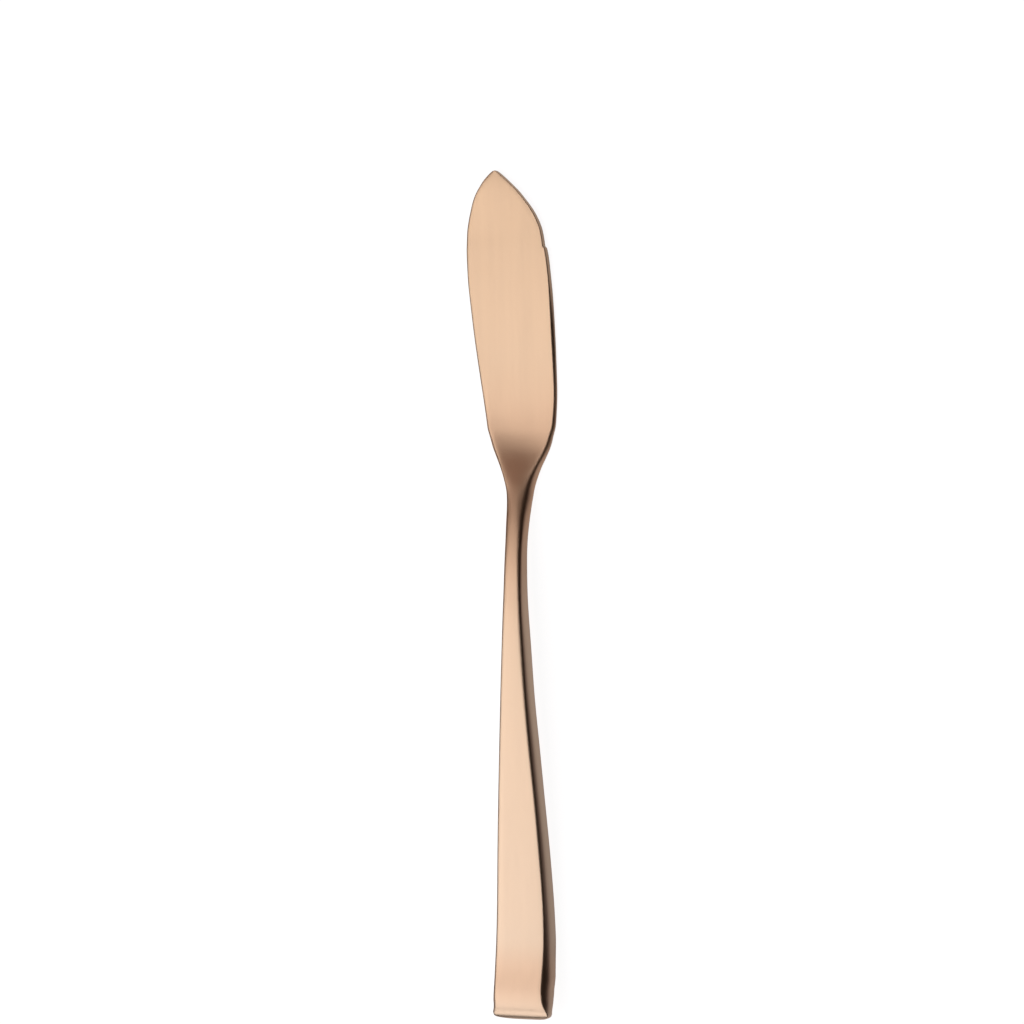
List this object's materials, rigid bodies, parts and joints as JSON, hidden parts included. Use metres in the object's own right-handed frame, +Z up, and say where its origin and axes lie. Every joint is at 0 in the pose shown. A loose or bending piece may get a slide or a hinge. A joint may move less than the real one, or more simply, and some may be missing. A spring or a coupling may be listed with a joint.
{
  "type": "fish knife",
  "caption": "Fish knife with a broad thin pointed blade, a notch in its back, a narrow neck and a slim hollow handle that widens to a squared end.",
  "frame": {"origin": "on the table that the knife lies on, under the middle of its box", "axes": "+Y points along the knife to the tip, +X to the side of the blade's thick back with the notch, +Z up, away from the table"},
  "size_m": [0.024, 0.2099, 0.0077],
  "materials": {
    "blade_steel": "satin",
    "handle_steel": "satin",
    "cement": "matte"
  },
  "bodies": {
    "root": {"blade": "blade_steel", "handle_front_shell": "handle_steel", "handle_back_shell": "handle_steel", "handle_core": "cement"}
  },
  "joints": []
}
